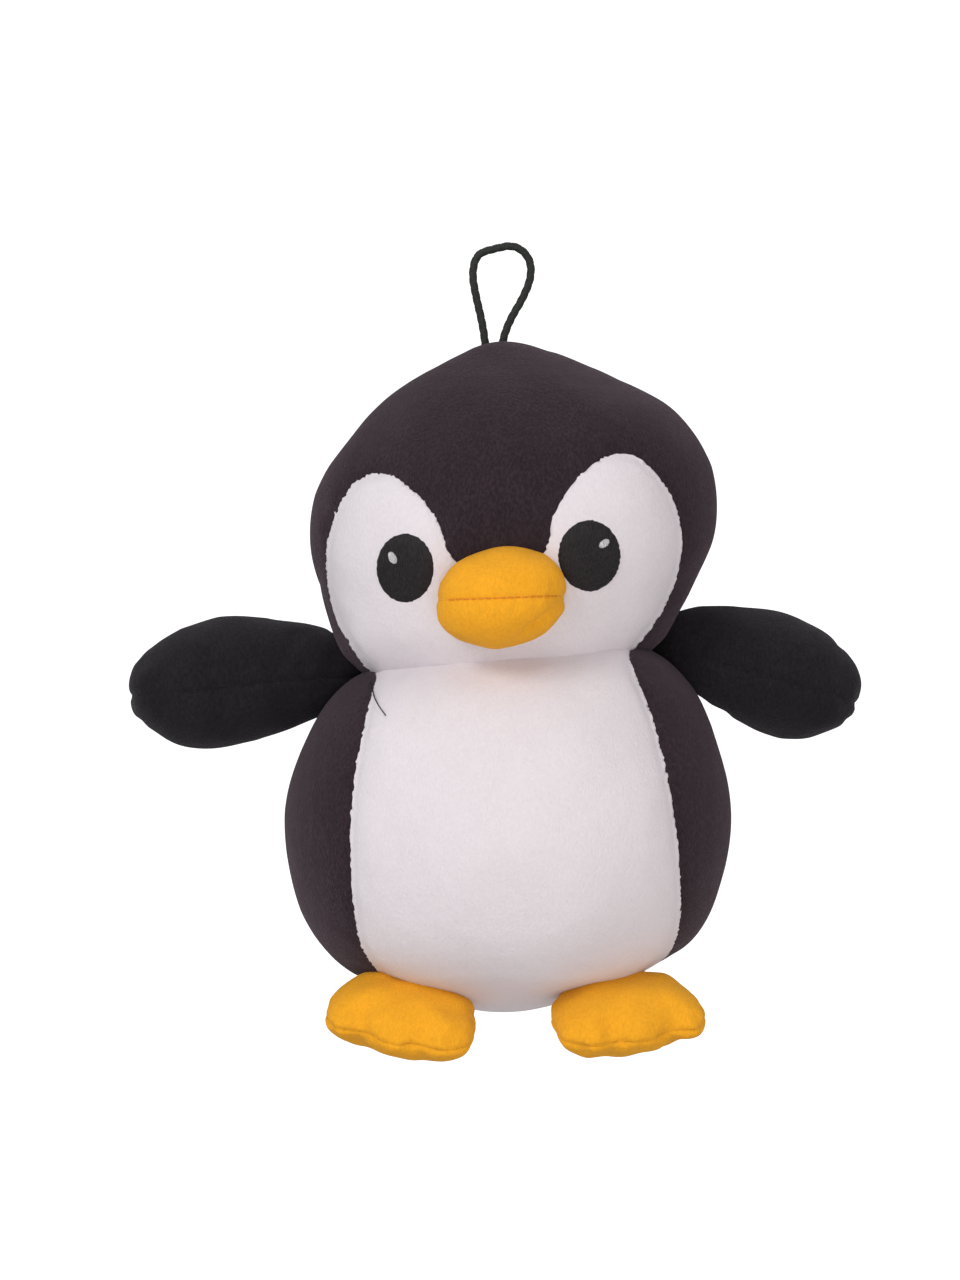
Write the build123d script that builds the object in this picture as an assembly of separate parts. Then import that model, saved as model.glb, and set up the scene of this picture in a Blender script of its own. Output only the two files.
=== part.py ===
from build123d import *
import os
from math import cos, radians, sin, tan

# Plush penguin hung from a braided loop. Millimetres, +Z up, front towards -Y.
# The origin is on the inside top of the hanging loop, where a hook bears.
# Head and torso are turned about upright axes as round bodies, cut into their panels while
# they are round, and only then flattened front to back, so every cut stays a clean one.

# ---- driving dimensions ------------------------------------------------------------------
SKIN = 2.0              # plush cloth, backing and pile together
FILL_GAP = 0.3          # between a cloth shell and the filling inside it
FLATTEN = 0.86          # depth of head and torso over their width
JOINT_GAP = 0.3         # between two bodies that turn against each other
SEAM_CLEAR = 0.05       # between pieces laid on one another within one body

NECK = (0.45, 0, -142)  # centre of the neck seam
NECK_ROLL = 4.5         # the neck seam rises this many degrees towards +X
HEAD_SHIFT = 3.5        # the head's own axis lies this far towards +X of the neck's centre
TORSO_Y = -3.0          # the torso's axis, before flattening

# half-width and height above the neck seam, from the neck seam to the crown
HEAD_PROFILE = [(50, 0), (60, 12), (67.5, 29), (71, 49), (68.5, 64), (60, 79), (47, 90.8), (35, 98.3),
                (23, 104.2), (11, 108.8), (0, 110.6)]
# half-width and height, from inside the head down to the lowest point of the belly
TORSO_PROFILE = [(41, -132), (51.3, -143), (64.3, -157.5), (72.5, -173), (76.9, -191), (76, -213),
                 (70.5, -230), (58, -246.5), (44, -253.2), (22, -259), (0, -263.3)]
# distance from the shoulder and half-height of a flipper 82 mm long
FLIPPER_PROFILE = [(6, 3), (10, 5.5), (18, 10.8), (28, 16.6), (40, 21), (54, 22.2), (68, 18.2), (78, 9.5), (82, 0)]
FLIPPER_DEPTH = 0.82    # depth of a flipper over its height

# side: shoulder x, z; reach; droop below level in degrees
FLIPPERS = {"left": (-52.3, -145.8, 81, 5.5), "right": (52.4, -137.5, 77, 16.0)}
SHOULDER_Y = 8

# side: ankle x, y, z; toe-out, droop and roll in degrees
FEET = {"left": (-29, -15, -262.8, 16, 20, 13), "right": (33, -15, -262.2, 22, 20, -10)}
FOOT_THICK = 21
FOOT_DOME = 40          # radius of the domed faces of a foot
FOOT_MIDDLE = (0, -20, 0)

BEAK_CENTRE = (-1.7, -67, -120)
BEAK_HALF = (24.2, 25.6, 19)
BEAK_SEAM_TILT = 2.0

# side: centre x, z; half-width, half-height
EYES = {"left": (-34.8, -110, 10.3, 12.3), "right": (28.5, -105.8, 11.2, 12.7)}
# side: centre x, z; half-length, half-height; tilt in degrees
HIGHLIGHTS = {"left": (-38.7, -106.3, 2.4, 1.5, -50), "right": (33.1, -101.4, 2.2, 1.3, 25)}
EMBROIDERY = 1.0

CORD_D = 2.9
KNOT_TOP = -38.5        # height at which the loop's two legs enter the knot
KNOT_R = 5.5
KNOT_X = -4.6
LOOP_BORE = 5.2         # half-width of the gap in the crown seam that the loop's legs leave through
KNOT_BORE_BOTTOM = 92   # height above the neck seam of the bottom of the knot's pocket
LOOP_POINTS = [(-6.6, 0, KNOT_TOP), (-7.2, 0.2, -31), (-8.5, 0.3, -23.2), (-10.4, 0.1, -15.4),
               (-11.9, 0, -7.2), (-10.2, 0, -0.4), (-4.4, 0, 1.4), (3, 0, 2.9), (8.3, 0, -1.5),
               (8.9, 0.1, -8.4), (5.8, 0.3, -16), (1.6, 0.4, -22.8), (-1.3, 0.2, -30.4), (-2.6, 0, KNOT_TOP)]

# white cloth outlines, seen from the front: left edge downwards or upwards, then right edge
FACE_LEFT = [(-41, -154), (-46.5, -146), (-55.7, -134.5), (-62, -116), (-61, -97), (-52.5, -80.5),
             (-42, -77.2), (-29, -87), (-20.8, -100.4), (-17.7, -112)]
FACE_RIGHT = [(12.5, -109), (16.2, -92), (25, -78.5), (38, -70), (51, -76.5), (60, -94), (59, -113),
              (49.5, -132.5), (41, -142), (37, -150)]
BELLY_LEFT = [(-43, -138), (-47.2, -155), (-51.7, -178.8), (-53.8, -203), (-52.2, -229), (-46, -248), (-30, -275)]
BELLY_RIGHT = [(41, -275), (54.5, -249), (59.8, -231), (59.2, -205), (54.5, -178), (47.1, -150.7), (40.5, -130)]
BELLY_BACK = 18         # the white cloth runs this far behind the torso's axis, under the belly

NECK_FRAME = Pos(*NECK) * Rot(0, -NECK_ROLL, 0)
HEAD_FRAME = NECK_FRAME * Pos(HEAD_SHIFT, 0, 0)
BIG = 400


# ---- turned bodies -----------------------------------------------------------------------
def profile_edge(profile, inset, rim_slope):
    """The outer edge of a profile, or a copy moved inwards by inset."""
    first, last = profile[0], profile[-1]
    tangents = [rim_slope, (-1, 0, 0)]
    outer = Spline([(r, 0, z) for r, z in profile], tangents=tangents)
    if inset == 0:
        return outer
    way = 1 if last[1] > first[1] else -1
    steps = 14
    points = [Vector(first[0] - inset, 0, first[1])]
    for i in range(1, steps):
        along = outer % (i / steps)
        points.append(outer @ (i / steps) + Vector(-along.Z, 0, along.X) * inset * way)
    points.append(Vector(0, 0, last[1] - inset * way))
    return Spline(points, tangents=tangents)


def bore_slot(bore, bottom):
    """Half the section of a round hole on the axis, from bottom upwards."""
    height = 200
    return Plane.XZ * Pos(bore / 2, bottom + height / 2) * Rectangle(bore, height)


def turned(profile, inset, rim_slope, bore=0, bottom=0):
    """The solid inside a profile, with an optional bore down to a given height."""
    edge = profile_edge(profile, inset, rim_slope)
    rim = edge @ 0
    foot = Vector(0, 0, rim.Z)
    section = make_face([edge, Line(edge @ 1, foot), Line(foot, rim)])
    if bore:
        section = section - bore_slot(bore, bottom)
    return Rot(0, 0, 33) * revolve(section, Axis.Z, 360)


def turned_shell(profile, outer_inset, inner_inset, rim_slope, start=33, turn=360, bore=0):
    """The cloth between two insets of a profile, open at its rim, from start round by turn degrees."""
    outer = profile_edge(profile, outer_inset, rim_slope)
    inner = profile_edge(profile, inner_inset, rim_slope)
    section = make_face([outer, Line(outer @ 1, inner @ 1), inner, Line(inner @ 0, outer @ 0)])
    if bore:
        section = section - bore_slot(bore, 0)
    return Rot(0, 0, start) * revolve(section, Axis.Z, turn)


HEAD_RIM = (1, 0, 0.9)
TORSO_RIM = (1, 0, -1)


def head_solid(inset, bore=0, bottom=0):
    return HEAD_FRAME * turned(HEAD_PROFILE, inset, HEAD_RIM, bore, bottom)


def head_shell(outer_inset, inner_inset, start, turn):
    return HEAD_FRAME * turned_shell(HEAD_PROFILE, outer_inset, inner_inset, HEAD_RIM, start, turn, LOOP_BORE)


def block(low, high):
    """A box from its lowest to its highest corner."""
    size = [b - a for a, b in zip(low, high)]
    middle = [(a + b) / 2 for a, b in zip(low, high)]
    return Pos(*middle) * Box(*size)


def outline_prism(left_edge, right_edge, near, far):
    """A closed front-view outline made solid between two depths."""
    one = Spline([(x, near, z) for x, z in left_edge])
    two = Spline([(x, near, z) for x, z in right_edge])
    face = make_face([one, Line(one @ 1, two @ 0), two, Line(two @ 1, one @ 0)])
    return extrude(face, far - near, dir=(0, 1, 0))


def oval_prism(x, z, half_x, half_z, tilt=0):
    """An oval made solid through the front of the head."""
    return Pos(x, -20, z) * Rot(90, 0, 0) * Rot(0, 0, tilt) * extrude(Ellipse(half_x, half_z), 80)


def flatten(shape):
    return scale(shape, by=(1, FLATTEN, 1))


# ---- head --------------------------------------------------------------------------------
def head_parts():
    front = head_shell(0, SKIN, 180, 180)
    back_right = head_shell(0, SKIN, 0, 90)
    back_left = head_shell(0, SKIN, 90, 90)
    face_cutter = outline_prism(FACE_LEFT, FACE_RIGHT, -BIG, 0)
    filling = head_solid(SKIN + FILL_GAP, KNOT_R + 1.5, KNOT_BORE_BOTTOM)
    parts = {
        "face_panel": front & face_cutter,
        "crown_panel": front - face_cutter,
        "head_back_left": back_left,
        "head_back_right": back_right,
        "head_stuffing": filling,
    }
    return {name: flatten(shape) for name, shape in parts.items()}


def beak_egg(inset):
    return Pos(*BEAK_CENTRE) * scale(Sphere(1), by=tuple(half - inset for half in BEAK_HALF))


def beak_parts():
    face = head_solid(-SEAM_CLEAR)
    cloth = beak_egg(0) - beak_egg(SKIN) - face
    tilt = Pos(*BEAK_CENTRE) * Rot(0, -BEAK_SEAM_TILT, 0)
    above = tilt * Pos(0, 0, 50) * Box(100, 100, 100)
    below = tilt * Pos(0, 0, -50) * Box(100, 100, 100)
    parts = {
        "beak_upper": cloth & above,
        "beak_lower": cloth & below,
        "beak_stuffing": beak_egg(SKIN + FILL_GAP) - face,
    }
    return {name: flatten(shape) for name, shape in parts.items()}


def beak_stitches():
    """Short stitches along the seam round the front of the beak."""
    stitches = []
    count = 17
    for i in range(count):
        angle = radians(200 + 140 * i / (count - 1))
        x = BEAK_CENTRE[0] + (BEAK_HALF[0] + 0.5) * cos(angle)
        y = BEAK_CENTRE[1] + (BEAK_HALF[1] + 0.6) * sin(angle)
        z = BEAK_CENTRE[2] + (x - BEAK_CENTRE[0]) * tan(radians(BEAK_SEAM_TILT))
        heading = (-BEAK_HALF[0] * sin(angle), BEAK_HALF[1] * cos(angle), 0)
        stitches.append(Plane(origin=(x, y, z), z_dir=heading) * Cylinder(0.4, 2.2))
    return flatten(Compound(children=stitches))


def eye_parts():
    thread = head_shell(-SEAM_CLEAR - EMBROIDERY, -SEAM_CLEAR, 180, 180)
    raised = -2 * SEAM_CLEAR - EMBROIDERY
    thread_on_top = head_shell(raised - EMBROIDERY / 2, raised, 180, 180)
    beak = beak_egg(-SEAM_CLEAR)
    parts = {}
    for side in ("left", "right"):
        parts["eye_" + side] = flatten((thread & oval_prism(*EYES[side])) - beak)
        parts["eye_highlight_" + side] = flatten(thread_on_top & oval_prism(*HIGHLIGHTS[side]))
    return parts


# ---- hanging loop ------------------------------------------------------------------------
def arc_radii(points):
    """The largest arc that each corner of a route has room for."""
    radii = []
    for before, corner, after in zip(points, points[1:], points[2:]):
        run_in = Vector(*corner) - Vector(*before)
        run_out = Vector(*after) - Vector(*corner)
        half_turn = radians(run_in.get_angle(run_out)) / 2
        radii.append(0.45 * min(run_in.length, run_out.length) / tan(half_turn))
    return radii


def hanging_loop():
    radii = arc_radii(LOOP_POINTS)
    path = FilletPolyline(*LOOP_POINTS, radius=radii)
    along = path % 0
    section = Plane(origin=path @ 0, z_dir=along) * Circle(CORD_D / 2)
    tube = sweep(section, path)
    print("loop radii", [round(r, 1) for r in radii])
    print("loop length", round(path.length, 1), "volume ratio",
          round(tube.volume / (path.length * 3.14159 * CORD_D ** 2 / 4), 4))
    return tube


def loop_knot():
    ball = Pos(KNOT_X, 0, KNOT_TOP - 4.2) * Sphere(KNOT_R)
    return ball & block((-BIG, -BIG, -BIG), (BIG, BIG, KNOT_TOP))


# ---- torso -------------------------------------------------------------------------------
def below_neck(drop):
    """Everything under the neck seam, less a drop."""
    return NECK_FRAME * Pos(0, 0, -drop - 150) * Box(BIG, BIG, 300)


def torso_parts():
    frame = Pos(NECK[0], TORSO_Y, 0)
    neck_cut = below_neck(JOINT_GAP)
    filling = (frame * turned(TORSO_PROFILE, SKIN + FILL_GAP, TORSO_RIM)) & neck_cut
    belly_cutter = outline_prism(BELLY_LEFT, BELLY_RIGHT, -BIG, BELLY_BACK)
    cloth = frame * turned_shell(TORSO_PROFILE, 0, SKIN, TORSO_RIM, 33, 360)
    right = frame * turned_shell(TORSO_PROFILE, 0, SKIN, TORSO_RIM, -90, 180)
    left = frame * turned_shell(TORSO_PROFILE, 0, SKIN, TORSO_RIM, 90, 180)
    parts = {
        "belly_panel": (cloth & belly_cutter) & neck_cut,
        "body_side_left": (left - belly_cutter) & neck_cut,
        "body_side_right": (right - belly_cutter) & neck_cut,
        "body_stuffing": filling,
    }
    return {name: flatten(shape) for name, shape in parts.items()}


def closing_stitches():
    """Ladder stitches that close the centre back seam after filling."""
    edge = profile_edge(TORSO_PROFILE, 0, TORSO_RIM)
    stitches = []
    for i in range(10):
        place = edge @ (0.30 + 0.032 * i)
        y = TORSO_Y + place.X + 0.55
        stitches.append(Pos(NECK[0], y, place.Z) * Rot(0, 90, 0) * Cylinder(0.4, 4.5))
    return flatten(Compound(children=stitches))


def neck_thread():
    """The thread ring drawn tight in the neck crease, on the head's side of the seam."""
    return flatten(HEAD_FRAME * Pos(0, 0, 0.6) * Torus(HEAD_PROFILE[0][0] + 1.4, 0.4))


# ---- flippers ----------------------------------------------------------------------------
def flipper_edge(inset):
    """A flipper's outline from its root to its tip, moved inwards by inset."""
    outer = Spline([(s, 0, h) for s, h in FLIPPER_PROFILE], tangents=[(1, 0, 0.6), (0, 0, -1)])
    if inset == 0:
        return outer
    steps = 12
    first, last = FLIPPER_PROFILE[0], FLIPPER_PROFILE[-1]
    points = [Vector(first[0] + inset, 0, first[1] - inset / 2)]
    for i in range(2, steps):
        along = outer % (i / steps)
        points.append(outer @ (i / steps) + Vector(along.Z, 0, -along.X) * inset)
    points.append(Vector(last[0] - inset, 0, 0))
    return Spline(points, tangents=[(1, 0, 0.6), (0, 0, -1)])


def flipper_place(side):
    x, z, reach, droop = FLIPPERS[side]
    turn = Rot(0, droop, 0) if side == "right" else Rot(0, -droop, 0) * Rot(0, 0, 180)
    return Pos(x, SHOULDER_Y, z) * turn, reach / FLIPPER_PROFILE[-1][0]


def flipper_parts(side):
    outer, inner, core = flipper_edge(0), flipper_edge(SKIN), flipper_edge(SKIN + FILL_GAP)
    root_out = Vector((outer @ 0).X, 0, 0)
    root_in = Vector((inner @ 0).X, 0, 0)
    cloth = make_face([outer, Line(outer @ 1, inner @ 1), inner,
                       Line(inner @ 0, root_in), Line(root_in, root_out), Line(root_out, outer @ 0)])
    root_core = Vector((core @ 0).X, 0, 0)
    filling = make_face([core, Line(core @ 1, root_core), Line(root_core, core @ 0)])
    upper = Rot(-90, 0, 0) * revolve(cloth, Axis.X, 180)
    lower = Rot(90, 0, 0) * revolve(cloth, Axis.X, 180)
    place, size = flipper_place(side)
    shapes = {
        "flipper_%s_upper" % side: upper,
        "flipper_%s_lower" % side: lower,
        "flipper_%s_stuffing" % side: revolve(filling, Axis.X, 360),
    }
    return {name: place * scale(shape, by=(size, FLIPPER_DEPTH, 1)) for name, shape in shapes.items()}


# ---- feet --------------------------------------------------------------------------------
def foot_outline(shrink):
    """Sole outline, toes towards -Y: a narrow ankle, then three rounded toes."""
    right = [(8, 0), (18, -8), (26, -20), (26, -29), (20, -35), (13.5, -34), (8.5, -35), (0, -39)]
    left = [(-x, y) for x, y in reversed(right[:-1])]
    edge = Spline([(x, y, 0) for x, y in right + left])
    face = make_face([edge, Line(edge @ 1, edge @ 0)])
    by = (1 - shrink / 26, 1 - shrink / 20, 1)
    return Pos(*FOOT_MIDDLE) * scale(Pos(0, -FOOT_MIDDLE[1], 0) * face, by=by)


def foot_half(shrink, up):
    """One domed half of a foot, above or below its seam."""
    prism = extrude(foot_outline(shrink), FOOT_THICK, dir=(0, 0, up))
    dome = Pos(0, FOOT_MIDDLE[1], up * (FOOT_THICK / 2 - FOOT_DOME)) * Sphere(FOOT_DOME - shrink)
    return prism & dome


def foot_place(side):
    x, y, z, toe_out, droop, roll = FEET[side]
    out = -toe_out if side == "left" else toe_out
    return Pos(x, y, z) * Rot(0, 0, out) * Rot(droop, 0, 0) * Rot(0, roll, 0)


def foot_parts(side):
    place = foot_place(side)
    core = SKIN + FILL_GAP
    filling = foot_half(core, 1) + foot_half(core, -1)
    shapes = {
        "foot_%s_top" % side: foot_half(0, 1) - foot_half(SKIN, 1),
        "foot_%s_sole" % side: foot_half(0, -1) - foot_half(SKIN, -1),
        "foot_%s_stuffing" % side: filling,
    }
    return {name: place * shape for name, shape in shapes.items()}


def build():
    parts = {}
    parts.update(head_parts())
    parts.update(beak_parts())
    parts["beak_stitches"] = beak_stitches()
    parts.update(eye_parts())
    parts["hanging_loop"] = hanging_loop()
    parts["loop_knot"] = loop_knot()
    parts.update(torso_parts())
    parts["closing_stitches"] = closing_stitches()
    parts["neck_thread"] = neck_thread()
    for side in ("left", "right"):
        parts.update(flipper_parts(side))
        parts.update(foot_parts(side))
    return parts


os.makedirs("parts", exist_ok=True)
for node, shape in build().items():
    export_step(shape, "parts/" + node + ".step")
    box = shape.bounding_box()
    print(node, round(shape.volume), [round(v, 1) for v in (*box.min, *box.max)])
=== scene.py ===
"""Looks of the plush penguin: every cloth panel is blown up as cloth, cut at its seams and given its pile.

Lengths in this file are millimetres in the row frame (origin inside the top of the hanging loop, +Z up,
front towards -Y) and become metres when a mesh is made.
"""
from math import cos, pi, radians, sin

import bpy
import numpy as np
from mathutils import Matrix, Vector
from mathutils.bvhtree import BVHTree


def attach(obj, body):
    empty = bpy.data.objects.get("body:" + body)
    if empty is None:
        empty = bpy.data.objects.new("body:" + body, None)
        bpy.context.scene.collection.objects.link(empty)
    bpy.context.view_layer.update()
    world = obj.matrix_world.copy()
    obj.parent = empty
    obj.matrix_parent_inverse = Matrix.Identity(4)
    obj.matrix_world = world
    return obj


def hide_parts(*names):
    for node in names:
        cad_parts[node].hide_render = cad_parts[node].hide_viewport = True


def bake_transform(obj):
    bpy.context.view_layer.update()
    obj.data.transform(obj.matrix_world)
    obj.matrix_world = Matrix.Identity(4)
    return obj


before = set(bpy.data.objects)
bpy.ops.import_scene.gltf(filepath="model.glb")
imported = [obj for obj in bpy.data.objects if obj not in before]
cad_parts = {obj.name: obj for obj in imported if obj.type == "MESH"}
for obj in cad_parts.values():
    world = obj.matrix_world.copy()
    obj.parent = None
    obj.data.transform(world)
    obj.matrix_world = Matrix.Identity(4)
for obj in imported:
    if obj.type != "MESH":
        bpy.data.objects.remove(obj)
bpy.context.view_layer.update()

MM = 0.001
FAR = 99                # a distance that stands for no seam nearby
AMBIENT = 0.5           # strength of the light from all round

# ---- shapes ------------------------------------------------------------------------------
# each ring of a body is given by its left and right edge, (x, z) and (x, z), from bottom to top
HEAD_RINGS = [
    ((-47.5, -149.6), (49, -141.2)),
    ((-50.8, -146.8), (51.8, -138)),
    ((-56.4, -141.4), (55.6, -132.8)),
    ((-60.6, -134.5), (59.2, -126.5)),
    ((-63.4, -125.5), (62.9, -120)),
    ((-66.2, -114.5), (68.2, -110.2)),
    ((-68.4, -104.5), (72.2, -101)),
    ((-68.8, -96.5), (73.3, -91)),
    ((-67.8, -87.8), (73.2, -82)),
    ((-64.2, -79), (71.5, -74)),
    ((-58, -69), (66.8, -64)),
    ((-49, -58), (58.5, -55)),
    ((-38, -47.9), (47, -48.3)),
    ((-26, -40.5), (33, -41.3)),
    ((-13.5, -33.9), (17, -35.2)),
    ((-6.5, -31.4), (4, -31.6)),
]
BODY_RINGS = [
    ((-11.5, -262), (9.5, -262.2)),
    ((-24, -258.8), (23, -258.3)),
    ((-37, -255), (36.5, -254.6)),
    ((-49.5, -251.8), (49.7, -250.6)),
    ((-60.5, -245.2), (60, -243.7)),
    ((-69.3, -233.1), (69.5, -231.5)),
    ((-75, -216), (76.3, -213.5)),
    ((-76.6, -199.7), (77.9, -198)),
    ((-74.8, -184.5), (76, -181)),
    ((-70.5, -171.5), (71.8, -166.5)),
    ((-65.1, -161.6), (65.8, -153.3)),
    ((-58.5, -153.8), (59.2, -145)),
    ((-51.3, -147), (52.3, -138.2)),
    ((-47.5, -143.6), (49, -135.2)),
]
# flipper rings: upper edge, lower edge, half-depth, from the root to the tip
FLIPPER_RINGS = {
    "left": [
        ((-46, -143.5), (-46, -149), 5),
        ((-52, -140.5), (-52, -151), 9.5), ((-56.5, -135), (-57.5, -157), 12),
        ((-63, -131.6), (-65.4, -160.8), 14.5), ((-71, -129.5), (-72.7, -163.9), 16),
        ((-81.4, -127.9), (-82, -166.8), 17.3), ((-92, -127.1), (-92, -170), 18),
        ((-101.5, -127.8), (-102, -171.9), 18.2), ((-110, -130.4), (-112.5, -171.2), 17.2),
        ((-118, -134.7), (-121, -167.4), 15), ((-125, -140), (-127.5, -162.5), 11.5),
        ((-130, -146.3), (-131.3, -157.8), 7),
    ],
    "right": [
        ((46, -134.5), (46, -140.5), 5),
        ((52.5, -131.5), (52.5, -143), 9.5), ((57, -126.8), (59, -149.5), 12),
        ((62.2, -124.4), (66.5, -152.7), 14.5), ((72, -123.6), (73, -157), 16),
        ((82.4, -123.9), (81, -161.7), 17.3), ((92, -124.8), (88.5, -166), 18),
        ((101.4, -127.4), (96, -168.7), 18), ((109.5, -131.6), (104.5, -168.9), 16.5),
        ((116, -136.8), (112, -166.6), 14), ((121.1, -143.8), (118.5, -164.3), 10),
        ((123.5, -149.6), (122.5, -160.3), 6),
    ],
}
DEPTH = 0.86            # front-to-back depth of head and body over their width
NECK_X, NECK_Z = 0.45, -142
NECK_SLOPE = 0.0787     # the neck seam rises towards +X
NECK_THREAD_R = 42
SHOULDER_Y = 9          # middle of a flipper, behind the body's middle
INSET = 1.0             # head and torso start this much small, because the cloth swells
FLIPPER_INSET = 0.1

# front-view outlines of the white cloth
FACE_OUTLINE = [
    (-41, -156), (-45.5, -147.2), (-50.9, -141.4), (-59.7, -125.5), (-62.5, -107.8), (-60, -93.5),
    (-53, -81), (-42.5, -77.2),
    (-30.7, -84.4), (-22.8, -95.5), (-18.6, -106.5), (-2, -120), (13, -104.5), (15.8, -92.8), (23.6, -80.1),
    (34.3, -71.6), (45, -71.8), (54.7, -81.4), (60.3, -95), (59.8, -109.5), (53.5, -125.9), (42.3, -140.6),
    (37, -150),
]
BELLY_OUTLINE = [
    (-41, -132), (-44.8, -148.1), (-47.9, -159), (-52.8, -187), (-53.4, -217), (-49.8, -240.6),
    (-41, -252.6), (-34, -258), (-20, -275),
    (20, -275), (49.7, -250.3), (58.7, -238), (60.1, -220), (57, -189.5), (50.2, -161.1), (42.3, -140.8),
    (40, -128),
]
BELLY_BACK = 15         # the white cloth runs this far behind the middle, under the body
CROWN_SEAM_X = 4        # centre back seam of the head, and its place on the body
BACK_SEAM_X = 0.5

EYES = {"left": ((-34.8, -110), (10.3, 12.3)), "right": ((28.5, -105.8), (11.2, 12.7))}  # centre, half-size
EYE_FRAY = 0.16         # how far the stitches of an eye stray over its edge
BEAK_CENTRE = np.array([-1.7, -57.5, -120.0])
BEAK_HALF = np.array([24.2, 22.0, 18.9])
BEAK_SEAM = (-120.3, 0.034)     # height of the beak's seam at its middle, and its slope

# ankle, turned out, droop and roll in degrees, and how far the puffed foot sits off its ankle
FEET = {
    "left": ((-29, -15, -262.8), -16, 26, 13, (-2, 0, 6)),
    "right": ((33, -15, -262.2), 22, 26, -10, (2, 0, 6)),
}
FOOT_MIDDLE_Y = -17
FOOT_OUTLINE = [
    (0, 5), (11, 4), (19.5, -1), (25, -10), (27, -21), (25.8, -30.5), (20.5, -36.5), (14.8, -36.2),
    (11, -33.6),
    (7.5, -37.2), (0, -39.5),
]
FOOT_HALF_THICK = 9.5

# the loop's route is the one that the CAD tube follows
LOOP_POINTS = [
    (-6.6, 0, -38.5), (-7.2, 0.2, -31), (-8.5, 0.3, -23.2), (-10.4, 0.1, -15.4), (-11.9, 0, -7.2),
    (-10.2, 0, -0.4), (-4.4, 0, 1.4), (3, 0, 2.9), (8.3, 0, -1.5), (8.9, 0.1, -8.4), (5.8, 0.3, -16),
    (1.6, 0.4, -22.8), (-1.3, 0.2, -30.4), (-2.6, 0, -38.5),
]
CORD_D = 2.9


# ---- small tools -------------------------------------------------------------------------
def ripple(points, size, seed, waves=12):
    """Smooth noise of about -1 to 1 whose features have the given size, the same on every run."""
    rng = np.random.default_rng(seed)
    heading = rng.normal(size=(waves, 3))
    heading /= np.linalg.norm(heading, axis=1)[:, None]
    pitch = 2 * pi / (size * 2) * rng.uniform(0.7, 1.4, (waves, 1))
    phase = rng.uniform(0, 2 * pi, waves)
    return np.sin(points @ (heading * pitch).T + phase).sum(1) / np.sqrt(waves)


def rounded(points, steps=6, closed=True):
    """A smooth line through points."""
    p = np.array(points, float)
    count = len(p)
    line = []
    for i in range(count if closed else count - 1):
        if closed:
            a, b, c, d = (p[(i + k) % count] for k in (-1, 0, 1, 2))
        else:
            a, b, c, d = (p[min(max(i + k, 0), count - 1)] for k in (-1, 0, 1, 2))
        for t in np.arange(steps) / steps:
            line.append(0.5 * (2 * b + (c - a) * t + (2 * a - 5 * b + 4 * c - d) * t ** 2
                               + (3 * b - a - 3 * c + d) * t ** 3))
    if not closed:
        line.append(p[-1])
    return np.array(line)


def outline_distance(flat, outline):
    """Distance of (x, z) points from a closed outline, negative inside it."""
    line = rounded(outline, 4)
    start, run = line, np.roll(line, -1, axis=0) - line
    best = np.full(len(flat), 1e9)
    inside = np.zeros(len(flat), bool)
    for a, r in zip(start, run):
        rel = flat - a
        t = np.clip(rel @ r / (r @ r), 0, 1)
        best = np.minimum(best, np.hypot(*(rel - t[:, None] * r).T))
        crosses = (rel[:, 1] >= 0) != (rel[:, 1] - r[1] >= 0)
        at = a[0] + rel[:, 1] * r[0] / (r[1] if r[1] else 1e-9)
        inside ^= crosses & (flat[:, 0] < at)
    return np.where(inside, -best, best)


def ring_loft(rings, count, ends):
    """A closed skin through rings of points, with a point at each end: (points, faces)."""
    points = [ends[0]]
    for ring in rings:
        points.extend(ring)
    points.append(ends[1])
    faces = []
    last = len(points) - 1
    for j in range(count):
        k = (j + 1) % count
        faces.append((0, 1 + k, 1 + j))
        for i in range(len(rings) - 1):
            a, b = 1 + i * count, 1 + (i + 1) * count
            faces.append((a + j, a + k, b + k, b + j))
        top = 1 + (len(rings) - 1) * count
        faces.append((top + j, top + k, last))
    return np.array(points, float), faces


def make_object(name, points, faces):
    mesh = bpy.data.meshes.new(name)
    corners = [tuple(p) for p in np.asarray(points) * MM]
    mesh.from_pydata(corners, [], [tuple(int(i) for i in f) for f in faces])
    mesh.update()
    obj = bpy.data.objects.new(name, mesh)
    bpy.context.scene.collection.objects.link(obj)
    return obj


def evaluated(obj):
    """(points in mm, faces) of an object with its modifiers."""
    graph = bpy.context.evaluated_depsgraph_get()
    graph.update()
    mesh = obj.evaluated_get(graph).to_mesh()
    points = np.empty(len(mesh.vertices) * 3)
    mesh.vertices.foreach_get("co", points)
    faces = [tuple(p.vertices) for p in mesh.polygons]
    obj.evaluated_get(graph).to_mesh_clear()
    return points.reshape(-1, 3) / MM, faces


def discard(obj):
    mesh = obj.data
    bpy.data.objects.remove(obj)
    bpy.data.meshes.remove(mesh)


def normals_of(points, tris):
    """Unit normals at the points of a triangle mesh."""
    a, b, c = points[tris[:, 0]], points[tris[:, 1]], points[tris[:, 2]]
    face = np.cross(b - a, c - a)
    total = np.zeros_like(points)
    for k in range(3):
        np.add.at(total, tris[:, k], face)
    return total / np.maximum(np.linalg.norm(total, axis=1), 1e-12)[:, None]


def triangles(faces):
    tris = []
    for f in faces:
        for k in range(1, len(f) - 1):
            tris.append((f[0], f[k], f[k + 1]))
    return np.array(tris)


# ---- cloth -------------------------------------------------------------------------------
def remeshed(points, faces, voxel):
    obj = make_object("work", points, faces)
    remesh = obj.modifiers.new("remesh", "REMESH")
    remesh.mode = "VOXEL"
    remesh.voxel_size = voxel * MM
    result = evaluated(obj)
    discard(obj)
    return result


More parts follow.
